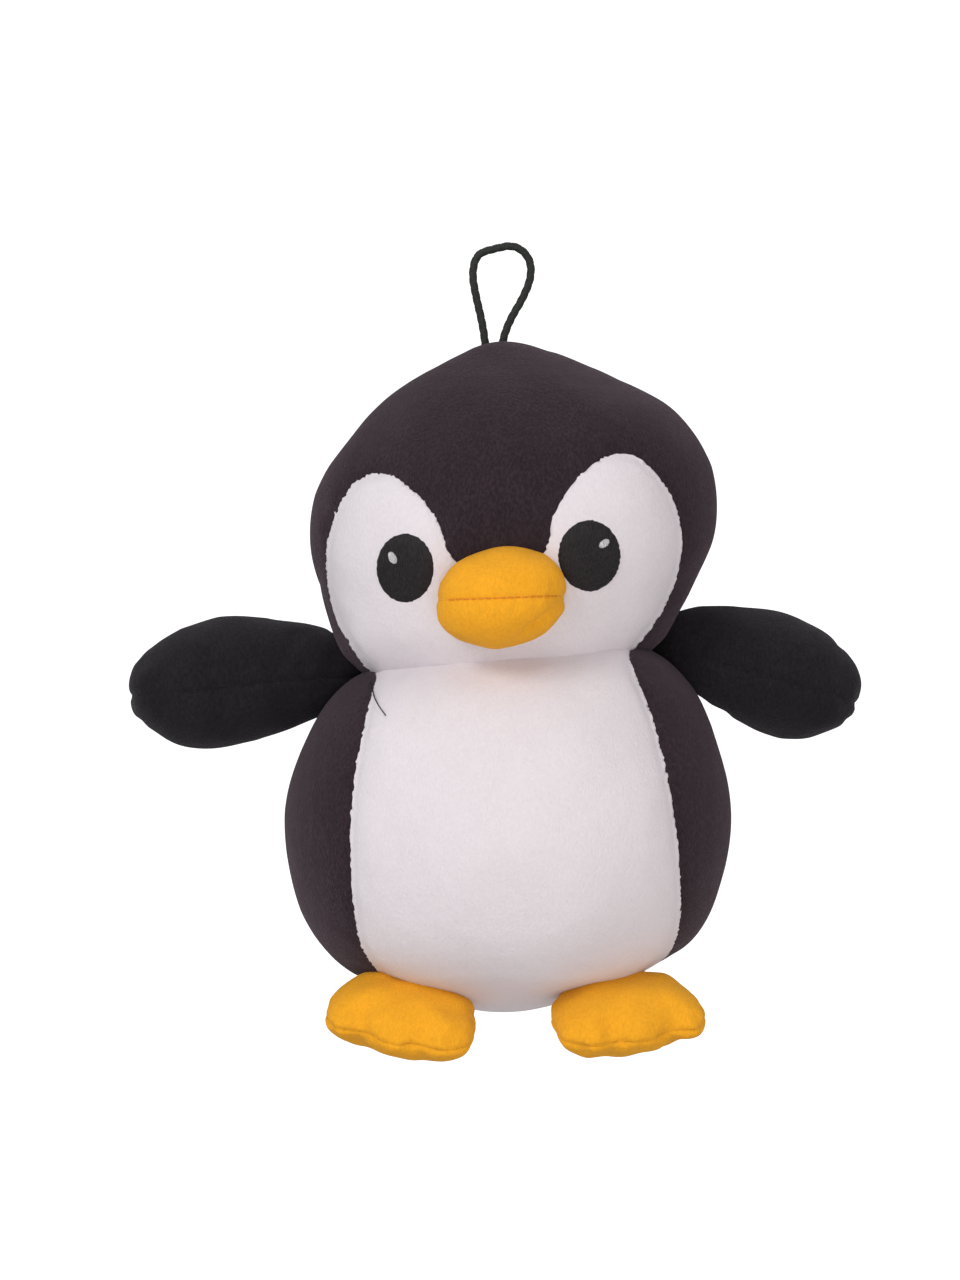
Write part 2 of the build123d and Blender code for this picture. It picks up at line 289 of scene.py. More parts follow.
def puffed(points, faces, pinned, voxel, cap, slack=0.02):
    """The skin, cut a little slack, blown up as cloth against its pinned seams, no point further than cap."""
    points, faces = remeshed(points, faces, voxel)
    obj = make_object("work", points, faces)
    hold = obj.vertex_groups.new(name="seams")
    free = pinned(points)
    for i in np.nonzero(free < voxel * 0.6)[0]:
        hold.add([int(i)], 1.0, "REPLACE")
    cloth = obj.modifiers.new("cloth", "CLOTH")
    cloth.settings.quality = 6
    cloth.settings.mass = 0.005
    cloth.settings.tension_stiffness = 4
    cloth.settings.compression_stiffness = 4
    cloth.settings.shear_stiffness = 2
    cloth.settings.bending_stiffness = 0.1
    cloth.settings.use_pressure = True
    cloth.settings.uniform_pressure_force = 400
    cloth.settings.shrink_min = -slack
    cloth.settings.vertex_group_mass = "seams"
    cloth.settings.effector_weights.gravity = 0
    cloth.point_cache.frame_start = 1
    cloth.point_cache.frame_end = 20
    for step in range(1, 21):
        bpy.context.scene.frame_set(step)
    swollen, _ = evaluated(obj)
    bpy.context.scene.frame_set(1)
    discard(obj)
    move = swollen - points
    length = np.linalg.norm(move, axis=1)
    move *= np.minimum(1, cap / np.maximum(length, 1e-9))[:, None]
    return points + move, faces


def subdivided(points, faces, levels):
    obj = make_object("work", points, faces)
    subdivision = obj.modifiers.new("subdivision", "SUBSURF")
    subdivision.levels = levels
    subdivision.render_levels = levels
    points, faces = evaluated(obj)
    discard(obj)
    return points, triangles(faces)


# ---- panels ------------------------------------------------------------------------------
def tidy_mesh(points, tris):
    used, index = np.unique(tris, return_inverse=True)
    return points[used], index.reshape(-1, 3)


def cut(points, tris, field):
    """Splits a triangle mesh where field is 0: the side below 0, then the side above."""
    field = np.where(np.abs(field) < 1e-5, 1e-5, field)
    above = (field > 0)[tris]
    count = above.sum(1)
    extra, made = [], {}

    def crossing(a, b):
        key = (min(a, b), max(a, b))
        if key not in made:
            t = field[key[0]] / (field[key[0]] - field[key[1]])
            extra.append(points[key[0]] * (1 - t) + points[key[1]] * t)
            made[key] = len(points) + len(extra) - 1
        return made[key]

    low, high = [], []
    for tri, up in zip(tris[(count == 1) | (count == 2)], above[(count == 1) | (count == 2)]):
        alone = int(np.nonzero(up if up.sum() == 1 else ~up)[0][0])
        a, b, c = int(tri[alone]), int(tri[(alone + 1) % 3]), int(tri[(alone + 2) % 3])
        ab, ac = crossing(a, b), crossing(a, c)
        one, two = ((high, low) if up.sum() == 1 else (low, high))
        one.append((a, ab, ac))
        two.extend([(ab, b, c), (ab, c, ac)])
    everything = np.vstack([points, np.array(extra).reshape(-1, 3)])
    below = np.vstack([tris[count == 0], np.array(low, int).reshape(-1, 3)])
    over = np.vstack([tris[count == 3], np.array(high, int).reshape(-1, 3)])
    return tidy_mesh(everything, below), tidy_mesh(everything, over)


def with_hem(points, tris, depth):
    """Turns the cut edge of a panel in, as its seam allowance is."""
    normal = normals_of(points, tris)
    edges = np.vstack([tris[:, [0, 1]], tris[:, [1, 2]], tris[:, [2, 0]]])
    key = np.sort(edges, axis=1)
    _, first, times = np.unique(key, axis=0, return_index=True, return_counts=True)
    rim = edges[first[times == 1]]
    if len(rim) == 0:
        return points, tris
    used = np.unique(rim)
    under = np.full(len(points), -1)
    under[used] = len(points) + np.arange(len(used))
    low = points[used] - normal[used] * depth
    a, b = rim[:, 0], rim[:, 1]
    hem = np.vstack([np.stack([b, a, under[a]], 1), np.stack([b, under[a], under[b]], 1)])
    return np.vstack([points, low]), np.vstack([tris, hem])


def piece(name, points, tris, material, slot_name, body, nodes, hem=1.6):
    """A finished panel: hemmed, smooth, textured by its own rest position, riding on its body when that body
    is given by name.
    """
    if hem:
        points, tris = with_hem(points, tris, hem)
    obj = make_object(name, points, tris)
    mesh = obj.data
    mesh.polygons.foreach_set("use_smooth", np.ones(len(mesh.polygons), bool))
    rest = mesh.attributes.new("rest", "FLOAT_VECTOR", "POINT")
    rest.data.foreach_set("vector", np.asarray(points, np.float32).ravel())
    mesh.materials.append(material)
    if nodes:
        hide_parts(*nodes)
    if isinstance(body, str):
        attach(obj, body)
    else:
        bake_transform(obj)
    return obj


def filling_piece(name, points, faces, depth, material, body, nodes):
    """The loose fibre just under a skin."""
    tris = triangles(faces)
    inner = points - normals_of(points, tris) * depth
    return piece(name, inner, tris, material, "polyester_filling", body, nodes, hem=0)


# ---- materials ---------------------------------------------------------------------------
class Nodes:
    """A material's node tree, with the steps that all the cloth materials share."""

    def __init__(self, name, roughness, sheen=0.0, sheen_roughness=0.4, sheen_tint=(1, 1, 1)):
        self.material = bpy.data.materials.new(name)
        self.material.use_nodes = True
        self.tree = self.material.node_tree
        self.shader = self.tree.nodes["Principled BSDF"]
        self.shader.inputs["Roughness"].default_value = roughness
        self.shader.inputs["Specular IOR Level"].default_value = 0.25
        self.shader.inputs["Sheen Weight"].default_value = sheen
        self.shader.inputs["Sheen Roughness"].default_value = sheen_roughness
        self.shader.inputs["Sheen Tint"].default_value = (*sheen_tint, 1)
        place = self.add("ShaderNodeAttribute")
        place.attribute_name = "rest"
        self.place = place.outputs["Vector"]

    def add(self, kind, **values):
        node = self.tree.nodes.new(kind)
        for key, value in values.items():
            if hasattr(node, key):
                setattr(node, key, value)
            else:
                node.inputs[key].default_value = value
        return node

    def link(self, out, into):
        self.tree.links.new(out, into)

    def stretched(self, scale, turn=(0, 0, 0)):
        mapping = self.add("ShaderNodeMapping")
        mapping.inputs["Scale"].default_value = scale
        mapping.inputs["Rotation"].default_value = turn
        self.link(self.place, mapping.inputs["Vector"])
        return mapping.outputs["Vector"]

    def noise(self, scale, detail=3.0, roughness=0.55, distortion=0.0, turn=(0, 0, 0)):
        node = self.add("ShaderNodeTexNoise")
        node.inputs["Scale"].default_value = 1.0
        node.inputs["Detail"].default_value = detail
        node.inputs["Roughness"].default_value = roughness
        node.inputs["Distortion"].default_value = distortion
        self.link(self.stretched(scale, turn), node.inputs["Vector"])
        return node.outputs["Fac"]

    def ramp(self, fac, stops):
        node = self.add("ShaderNodeValToRGB")
        ramp = node.color_ramp
        while len(ramp.elements) < len(stops):
            ramp.elements.new(0.5)
        for element, (position, colour) in zip(ramp.elements, stops):
            element.position = position
            element.color = (*colour, 1)
        self.link(fac, node.inputs["Fac"])
        return node.outputs["Color"]

    def mix(self, fac, one, two, how="MIX"):
        node = self.add("ShaderNodeMix", data_type="RGBA", blend_type=how)
        if isinstance(fac, float):
            node.inputs[0].default_value = fac
        else:
            self.link(fac, node.inputs[0])
        for socket, value in ((node.inputs[6], one), (node.inputs[7], two)):
            if isinstance(value, tuple):
                socket.default_value = (*value, 1)
            else:
                self.link(value, socket)
        return node.outputs[2]

    def bump(self, height, distance, strength, below=None):
        node = self.add("ShaderNodeBump")
        node.inputs["Distance"].default_value = distance * MM
        node.inputs["Strength"].default_value = strength
        self.link(height, node.inputs["Height"])
        if below is not None:
            self.link(below, node.inputs["Normal"])
        return node.outputs["Normal"]


def shade(colour, factor):
    return tuple(min(1, c * factor) for c in colour)


def plush(name, colour, dark, light, sheen, tint, cloudy=0.86, lean=(0, 0, 0)):
    """Short knitted pile: fine streaks down the nap, soft brushed patches and a velvet edge."""
    n = Nodes(name, roughness=0.95, sheen=sheen, sheen_roughness=0.45, sheen_tint=tint)
    nap = n.noise((1.15, 1.15, 0.6), detail=4, roughness=0.7, turn=lean)
    fibre = n.noise((4.5, 4.5, 1.6), detail=2, roughness=0.6, turn=lean)
    patch = n.noise((0.05, 0.05, 0.04), detail=3, distortion=0.6)
    base = n.ramp(nap, [(0.28, shade(colour, dark)), (0.72, shade(colour, light))])
    brushed = n.ramp(patch, [(0.35, (cloudy, cloudy, cloudy)), (0.7, (1.0, 1.0, 1.0))])
    n.link(n.mix(1.0, base, brushed, "MULTIPLY"), n.shader.inputs["Base Color"])
    deep = n.bump(patch, 1.2, 0.5 if cloudy < 0.9 else 0.15)
    middle = n.bump(nap, 0.55, 0.75, deep)
    n.link(n.bump(fibre, 0.22, 0.7, middle), n.shader.inputs["Normal"])
    return n.material


def satin_stitch(name, colour, light):
    """Embroidery: close parallel threads with a dull shine."""
    n = Nodes(name, roughness=0.6)
    thread = n.noise((3.2, 3.2, 0.35), detail=2, turn=(0, radians(12), 0))
    n.link(n.ramp(thread, [(0.3, colour), (0.75, light)]), n.shader.inputs["Base Color"])
    n.link(n.bump(thread, 0.3, 0.9), n.shader.inputs["Normal"])
    return n.material


def thread_material(name, colour):
    n = Nodes(name, roughness=0.6)
    twist = n.noise((3, 3, 3), detail=2)
    tone = n.ramp(twist, [(0.3, shade(colour, 0.7)), (0.7, shade(colour, 1.3))])
    n.link(tone, n.shader.inputs["Base Color"])
    n.link(n.bump(twist, 0.1, 0.6), n.shader.inputs["Normal"])
    return n.material


def fibre_material(name):
    n = Nodes(name, roughness=0.9, sheen=0.3)
    cloud = n.noise((0.3, 0.3, 0.3), detail=6, distortion=1.5)
    n.link(n.ramp(cloud, [(0.3, (0.72, 0.72, 0.7)), (0.7, (0.92, 0.92, 0.9))]), n.shader.inputs["Base Color"])
    n.link(n.bump(cloud, 1.5, 0.8), n.shader.inputs["Normal"])
    return n.material


BLACK = plush("black_plush", (0.024, 0.0145, 0.020), 0.35, 1.8, 0.16, (0.80, 0.60, 0.72), 0.78)
FLIPPER_BLACK = plush("flipper_plush", (0.0115, 0.009, 0.012), 0.35, 1.8, 0.11, (0.7, 0.66, 0.78), 0.62)
WHITE = plush("white_plush", (0.775, 0.725, 0.765), 0.95, 1.04, 0.22, (1.0, 0.95, 0.98), 0.975)
ORANGE = plush("orange_plush", (0.92, 0.40, 0.016), 0.88, 1.12, 0.14, (1.0, 0.70, 0.20), 0.95)
EYE_BLACK = satin_stitch("eye_thread", (0.003, 0.002, 0.0025), (0.028, 0.023, 0.026))
EYE_WHITE = satin_stitch("highlight_thread", (0.38, 0.37, 0.39), (0.75, 0.74, 0.76))
BLACK_THREAD = thread_material("black_thread", (0.012, 0.011, 0.012))
ORANGE_THREAD = thread_material("orange_thread", (0.72, 0.25, 0.018))
CORD = thread_material("cord", (0.018, 0.021, 0.018))
FIBRE = fibre_material("filling")


# ---- head and body -----------------------------------------------------------------------
def edge_rings(pairs, count, middle_y, inset, steps=4):
    """Rings through pairs of left and right edge points, flattened front to back."""
    line = rounded([(*left, *right) for left, right in pairs], steps, closed=False)
    rings = []
    for xl, zl, xr, zr in line:
        middle = np.array([(xl + xr) / 2, (zl + zr) / 2])
        half = np.array([xr - xl, zr - zl]) / 2
        reach = np.hypot(*half)
        half = half * max(reach - inset, 1) / reach
        depth = max(reach - inset, 1) * DEPTH
        ring = []
        for j in range(count):
            angle = 2 * pi * j / count
            x, z = middle + half * cos(angle)
            ring.append((x, middle_y(z) + depth * sin(angle), z))
        rings.append(ring)
    return rings


def inside_ends(rings, shift):
    """The end points of a loft, a little inside or beyond its first and last ring."""
    first, last = np.mean(rings[0], axis=0), np.mean(rings[-1], axis=0)
    return (first + (0, 0, shift[0]), last + (0, 0, shift[1]))


def seam_dip(points, tris, distances, depth=0.9, width=1.7):
    """Draws the skin in along its seams."""
    pull = np.zeros(len(points))
    for distance in distances:
        pull = np.maximum(pull, np.exp(-(distance / width) ** 2))
    return points - normals_of(points, tris) * (depth * pull)[:, None]


def head_fields(points):
    """Signed distances that part the head's panels."""
    face = np.maximum(outline_distance(points[:, [0, 2]], FACE_OUTLINE), points[:, 1] + 4)
    return face, points[:, 1] - 2, points[:, 0] - CROWN_SEAM_X


def build_head():
    rings = edge_rings(HEAD_RINGS, 72, lambda z: 0, INSET)
    points, faces = ring_loft(rings, 72, inside_ends(rings, (0.5, 0.3)))

    def free(p):
        face, side, back = head_fields(p)
        neck = np.abs(neck_height(p)) * 1.4
        front = np.where(p[:, 1] < 0, np.abs(face), FAR)
        rear = np.where(p[:, 1] > 2, np.abs(back), FAR)
        return np.minimum.reduce([front, np.abs(side), rear, neck])

    points, faces = puffed(points, faces, free, voxel=5, cap=1.8)
    filling_piece("head_filling", points, faces, 3.0, FIBRE, "head", ["head_stuffing"])
    points, tris = subdivided(points, faces, 2)
    points = points + normals_of(points, tris) * (0.35 * ripple(points, 16, 3))[:, None]
    face, side, back = head_fields(points)
    dips = [
        np.where(points[:, 1] < 0, face, FAR),
        np.where(face > 3, side, FAR),
        np.where(points[:, 1] > 2, back, FAR),
    ]
    points = seam_dip(points, tris, dips)
    whole = BVHTree.FromPolygons(points.tolist(), tris.tolist())
    ragged = 0.30 * ripple(points, 0.9, 11) + 0.12 * ripple(points, 2.6, 12)
    inner, outer = cut(points, tris, head_fields(points)[0] + ragged)
    piece("face_panel_plush", *inner, WHITE, "white_plush", "head", ["face_panel"])
    front, rear = cut(*outer, head_fields(outer[0])[1])
    piece("crown_panel_plush", *front, BLACK, "black_plush", "head", ["crown_panel"])
    left, right = cut(*rear, head_fields(rear[0])[2])
    piece("head_back_left_plush", *left, BLACK, "black_plush", "head", ["head_back_left"])
    piece("head_back_right_plush", *right, BLACK, "black_plush", "head", ["head_back_right"])
    return whole


def neck_height(p):
    """Height above the neck seam, which rises towards +X."""
    return p[:, 2] - NECK_Z - (p[:, 0] - NECK_X) * NECK_SLOPE


def body_fields(points):
    belly = np.maximum(outline_distance(points[:, [0, 2]], BELLY_OUTLINE), points[:, 1] - BELLY_BACK)
    return belly, points[:, 0] - BACK_SEAM_X


def belly_lean(z):
    """The belly hangs forward of the neck."""
    return -2.5 - 2.0 * sin(pi * min(max((-150 - z) / 115, 0), 1))


def build_body():
    rings = edge_rings(BODY_RINGS, 72, belly_lean, INSET)
    points, faces = ring_loft(rings, 72, inside_ends(rings, (-0.9, -0.5)))

    def free(p):
        belly, back = body_fields(p)
        neck = np.abs(neck_height(p)) * 1.4
        rear = np.where(p[:, 1] > BELLY_BACK, np.abs(back), FAR)
        return np.minimum.reduce([np.abs(belly), rear, neck])

    points, faces = puffed(points, faces, free, voxel=5, cap=1.8)
    filling_piece("body_filling", points, faces, 3.0, FIBRE, "torso", ["body_stuffing"])
    points, tris = subdivided(points, faces, 2)
    points = points + normals_of(points, tris) * (0.4 * ripple(points, 20, 5))[:, None]
    belly, back = body_fields(points)
    points = seam_dip(points, tris, [belly, np.where(points[:, 1] > BELLY_BACK, back, FAR)])
    whole = BVHTree.FromPolygons(points.tolist(), tris.tolist())
    ragged = 0.30 * ripple(points, 0.9, 21) + 0.12 * ripple(points, 2.6, 22)
    inner, outer = cut(points, tris, body_fields(points)[0] + ragged)
    piece("belly_panel_plush", *inner, WHITE, "white_plush", "torso", ["belly_panel"])
    left, right = cut(*outer, body_fields(outer[0])[1])
    piece("body_side_left_plush", *left, BLACK, "black_plush", "torso", ["body_side_left"])
    piece("body_side_right_plush", *right, BLACK, "black_plush", "torso", ["body_side_right"])
    return whole


# ---- flippers ----------------------------------------------------------------------------
def build_flipper(side):
    rows = [(*up, *low, depth) for up, low, depth in FLIPPER_RINGS[side]]
    line = rounded(rows, 4, closed=False)
    count = 48
    rings = []
    for xu, zu, xl, zl, depth in line:
        middle = np.array([(xu + xl) / 2, (zu + zl) / 2])
        half = np.array([xu - xl, zu - zl]) / 2
        reach = np.hypot(*half)
        half = half * max(reach - FLIPPER_INSET, 1) / reach
        deep = max(depth - FLIPPER_INSET, 1)
        ring = []
        for j in range(count):
            angle = 2 * pi * j / count
            x, z = middle + half * sin(angle)
            ring.append((x, SHOULDER_Y + deep * cos(angle) * (1 if side == "left" else -1), z))
        rings.append(ring)
    way = -1 if side == "left" else 1
    root, tip = inside_ends(rings, (0, 0))
    points, faces = ring_loft(rings, count, (root - (way * 1.0, 0, 0), tip + (way * 1.2, 0, -0.3)))
    middle_line = np.array([[(r[0] + r[2]) / 2, (r[1] + r[3]) / 2] for r in line])
    order = np.argsort(middle_line[:, 0])

    def seam(p):
        height = np.interp(p[:, 0], middle_line[order, 0], middle_line[order, 1]) - 2.2
        return p[:, 2] - height

    def free(p):
        return np.abs(seam(p))

    points, faces = puffed(points, faces, free, voxel=4, cap=2, slack=0.045)
    child = "flipper_" + side
    x, z = FLIPPER_RINGS[side][1][0]
    ride = ("torso", child, (x, SHOULDER_Y, z - 3), (x + way * 20, SHOULDER_Y, z - 4))
    filling_piece(child + "_filling", points, faces, 2.6, FIBRE, ride, [child + "_stuffing"])
    points, tris = subdivided(points, faces, 2)
    seed = 31 if side == "left" else 41
    outward = normals_of(points, tris)
    reach = np.abs(points[:, 0]) - 55
    pucker = np.exp(-(seam(points) / 7) ** 2) * np.sin(reach / 2.1 + ripple(points, 12, seed) * 1.5)
    points = points + outward * (0.32 * ripple(points, 11, seed + 1) + 0.2 * pucker)[:, None]
    points = seam_dip(points, tris, [seam(points)], depth=0.8, width=1.2)
    lower, upper = cut(points, tris, seam(points) + 0.08 * ripple(points, 2, seed + 2))
    piece(child + "_upper_plush", *upper, FLIPPER_BLACK, "black_plush", ride, [child + "_upper"])
    piece(child + "_lower_plush", *lower, FLIPPER_BLACK, "black_plush", ride, [child + "_lower"])


# ---- feet --------------------------------------------------------------------------------
def turn_about(axis, degrees):
    a = radians(degrees)
    c, s = cos(a), sin(a)
    if axis == "x":
        return np.array([[1, 0, 0], [0, c, -s], [0, s, c]])
    if axis == "y":
        return np.array([[c, 0, s], [0, 1, 0], [-s, 0, c]])
    return np.array([[c, -s, 0], [s, c, 0], [0, 0, 1]])


def build_foot(side):
    ankle, out, droop, roll, shift = FEET[side]
    right = FOOT_OUTLINE
    left = [(-x, y) for x, y in reversed(right[1:-1])]
    outline = rounded(right + left, 5)
    middle = np.array([0, FOOT_MIDDLE_Y])
    count = len(outline)
    rings = []
    shares = [0.12, 0.3, 0.48, 0.64, 0.78, 0.89, 0.96, 1.0]
    for up in (1, -1):
        level = []
        for share in (shares if up > 0 else shares[-2::-1]):
            thick = FOOT_HALF_THICK * (1 - share ** 2.6) ** 0.6
            reach = middle + (outline - middle) * share
            level.append([(x, y, up * thick) for x, y in reach])
        rings.extend(level)
    ends = (np.array([0, FOOT_MIDDLE_Y, FOOT_HALF_THICK]), np.array([0, FOOT_MIDDLE_Y, -FOOT_HALF_THICK]))
    points, faces = ring_loft(rings, count, ends)
    faces = [tuple(reversed(f)) for f in faces]

    def free(p):
        return np.abs(p[:, 2]) * 1.3

    points, faces = puffed(points, faces, free, voxel=3.2, cap=2.2, slack=0.045)
    place = turn_about("z", out) @ turn_about("x", droop) @ turn_about("y", roll)
    seat = np.array(ankle) + shift
    child = "foot_" + side
    toward = place @ np.array([0, -14, 0])
    ride = ("torso", child, ankle, tuple(np.array(ankle) + toward))
    filling_piece(child + "_filling", points @ place.T + seat, faces, 2.4, FIBRE, ride, [child + "_stuffing"])
    points, tris = subdivided(points, faces, 2)
    seed = 51 if side == "left" else 61
    crease = np.zeros(len(points))
    for x in (-11, 11):
        near = np.exp(-((points[:, 0] - x * (0.75 - points[:, 1] / 130)) / 2.6) ** 2)
        crease += near * np.clip((-22 - points[:, 1]) / 10, 0, 1)
    outward = normals_of(points, tris)
    points = points + outward * (0.45 * ripple(points, 8, seed) - 0.25 * crease)[:, None]
    seam = points[:, 2]
    points = seam_dip(points, tris, [seam], depth=0.7, width=1.1)
    lower, upper = cut(points, tris, points[:, 2] + 0.08 * ripple(points, 2, seed + 2))
    for part, (skin, skin_tris) in (("_top", upper), ("_sole", lower)):
        nodes = [child + part]
        piece(child + part + "_plush", skin @ place.T + seat, skin_tris, ORANGE, "orange_plush", ride, nodes)


# ---- beak --------------------------------------------------------------------------------
def beak_seam(p):
    return p[:, 2] - (BEAK_SEAM[0] + BEAK_SEAM[1] * (p[:, 0] - BEAK_CENTRE[0]))


def build_beak():
    count, levels = 48, 24
    rings = []
    for i in range(1, levels):
        tilt = -pi / 2 + pi * i / levels
        ring = []
        for j in range(count):
            angle = 2 * pi * j / count
            x = cos(tilt) * cos(angle) + 0.11 * sin(tilt)
            y = cos(tilt) * sin(angle)
            ring.append(BEAK_CENTRE + np.array([x, y, sin(tilt)]) * (BEAK_HALF - 1.6))
        rings.append(ring)
    top = np.array([0.11, 0, 1]) * (BEAK_HALF - 1.6)
    ends = (BEAK_CENTRE - top, BEAK_CENTRE + top)
    points, faces = ring_loft(rings, count, ends)

    def free(p):
        return np.abs(beak_seam(p))

    points, faces = puffed(points, faces, free, voxel=3.2, cap=2, slack=0.02)
    filling_piece("beak_filling", points, faces, 2.4, FIBRE, "head", ["beak_stuffing"])
    points, tris = subdivided(points, faces, 2)
    fold = np.zeros(len(points))
    for x0, z0, lean in ((13, -126, 1.1), (17.5, -124, 1.0), (9, -130, 1.3)):
        across = (points[:, 0] - x0) - (points[:, 2] - z0) * lean
        along = np.exp(-((points[:, 2] - z0) / 6) ** 2)
        fold += np.exp(-(across / 1.3) ** 2) * along
    pucker = np.exp(-(beak_seam(points) / 5) ** 2) * np.sin(points[:, 0] / 0.9 + ripple(points, 6, 71))
    outward = normals_of(points, tris)
    points = points + outward * (0.3 * ripple(points, 8, 72) - 0.7 * fold + 0.12 * pucker)[:, None]
    points = seam_dip(points, tris, [beak_seam(points)], depth=0.45, width=0.8)
    whole = BVHTree.FromPolygons(points.tolist(), tris.tolist())
    lower, upper = cut(points, tris, beak_seam(points))
    piece("beak_upper_plush", *upper, ORANGE, "orange_plush", "head", ["beak_upper"])
    piece("beak_lower_plush", *lower, ORANGE, "orange_plush", "head", ["beak_lower"])
    return whole


# ---- embroidery and threads --------------------------------------------------------------
def on_front(skin, x, z):
    """(point, normal) of a skin seen from the front."""
    place, normal, _, _ = skin.ray_cast(Vector((x, -300, z)), Vector((0, 1, 0)))
    return np.array(place), np.array(normal)


def oval_patch(name, skin, centre, half, tilt, height, material, slot_name, nodes, ragged=0.0):
    """A domed oval of satin stitch sewn on a skin."""
    rings, count = 34, 150
    points, faces = [], []
    a = radians(tilt)
    around = np.arange(count) * 2 * pi / count
    rim = np.stack([half[0] * np.cos(around), half[1] * np.sin(around), around * 0], 1)
    fray = ragged / half[1] * ripple(rim, 0.8, 81)
    for i in range(rings + 1):
        share = i / rings
        for j in range(count):
            angle = 2 * pi * j / count
            reach = share * (1 + fray[j] * share ** 4)
            u, v = half[0] * reach * cos(angle), half[1] * reach * sin(angle)
            x = centre[0] + u * cos(a) - v * sin(a)
            z = centre[1] + u * sin(a) + v * cos(a)
            place, normal = on_front(skin, x, z)
            lift = height * (1 - share ** 7) - 0.7 * share ** 20
            ridge = 0.10 * sin(2 * pi * (x * 0.98 + z * 0.2) / 0.8) * (1 - share ** 12)
            points.append(place + normal * (lift + ridge * height))
    points = np.array(points)
    for i in range(rings):
        for j in range(count):
            k = (j + 1) % count
            faces.append((i * count + j, i * count + k, (i + 1) * count + k, (i + 1) * count + j))
    tris = triangles([tuple(reversed(f)) for f in faces])
    flat = np.linalg.norm(np.cross(points[tris[:, 1]] - points[tris[:, 0]],
                                   points[tris[:, 2]] - points[tris[:, 0]]), axis=1) > 1e-9
    piece(name, points, tris[flat], material, slot_name, "head", nodes, hem=0)


def capsule(a, b, radius, count=8):
    """A short thread between two points: (points, faces)."""
    a, b = np.asarray(a, float), np.asarray(b, float)
    along = (b - a) / np.linalg.norm(b - a)
    side = np.cross(along, (0.3, 0.2, 0.9))
    side /= np.linalg.norm(side)
    other = np.cross(along, side)
    rings = []
    tip = along * radius * 0.6
    for where, share in ((a - tip, 0.6), (a, 1), ((a + b) / 2, 1.05), (b, 1), (b + tip, 0.6)):
        rings.append([where + (side * cos(t) + other * sin(t)) * radius * share
                      for t in np.arange(count) * 2 * pi / count])
    return ring_loft(rings, count, (a - along * radius, b + along * radius))


def threads(name, runs, radius, material, slot_name, body, nodes):
    points, faces = [], []
    for a, b in runs:
        p, f = capsule(a, b, radius)
        faces.extend(tuple(i + len(points) for i in face) for face in f)
        points.extend(p)
    piece(name, np.array(points), triangles(faces), material, slot_name, body, nodes, hem=0)


def build_embroidery(head, beak):
    for side in ("left", "right"):
        oval_patch("eye_" + side + "_stitching", head, *EYES[side], 0, 1.1, EYE_BLACK, "black_embroidery",
                   ["eye_" + side], EYE_FRAY)
    oval_patch("eye_highlight_left_stitching", head, (-38.5, -106.3), (1.45, 2.5), 28, 1.9, EYE_WHITE,
               "white_embroidery", ["eye_highlight_left"])
    oval_patch("eye_highlight_right_stitching", head, (33.1, -101.4), (2.3, 1.35), 38, 1.9, EYE_WHITE,
               "white_embroidery", ["eye_highlight_right"])
    runs = []
    for i in range(15):
        x = -19.5 + 2.5 * i
        ends = []
        for end in (x, x + 1.5):
            place, normal = on_front(beak, end, BEAK_SEAM[0] + BEAK_SEAM[1] * (end - BEAK_CENTRE[0]))
            ends.append(place + normal * 0.12)
        runs.append(ends)
    threads("beak_seam_stitches", runs, 0.3, ORANGE_THREAD, "orange_thread", "head", ["beak_stitches"])


def build_threads(body):
    runs = []
    for i in range(11):
        z = -178 - 5 * i
        ends = []
        for x in (BACK_SEAM_X - 2, BACK_SEAM_X + 2):
            start = Vector((x, 300, z - (x - BACK_SEAM_X) * 0.3))
            place, normal, _, _ = body.ray_cast(start, Vector((0, -1, 0)))
            ends.append(np.array(place) + np.array(normal) * 0.15)
        runs.append(ends)
    threads("closing_ladder_stitches", runs, 0.35, BLACK_THREAD, "black_thread", "torso",
            ["closing_stitches"])
    ring = []
    for j in range(97):
        angle = 2 * pi * j / 96
        x = 0.5 + NECK_THREAD_R * cos(angle)
        y = -1 + NECK_THREAD_R * DEPTH * sin(angle)
        ring.append(np.array([x, y, NECK_Z + (x - NECK_X) * NECK_SLOPE]))
    threads("neck_seam_thread", list(zip(ring, ring[1:])), 0.45, BLACK_THREAD, "black_thread", "head",
            ["neck_thread"])
    tail = rounded([(-47.1, -149.1), (-45.6, -153.1), (-43.7, -157.3), (-41.4, -160.7)], 5, closed=False)
    ends = []
    for i, (x, z) in enumerate(tail):
        place, normal = on_front(body, x, z)
        ends.append(place + normal * (0.25 + 0.5 * sin(pi * i / (len(tail) - 1))))
    threads("loose_thread_end", list(zip(ends, ends[1:])), 0.2, BLACK_THREAD, "black_thread", "torso", [])


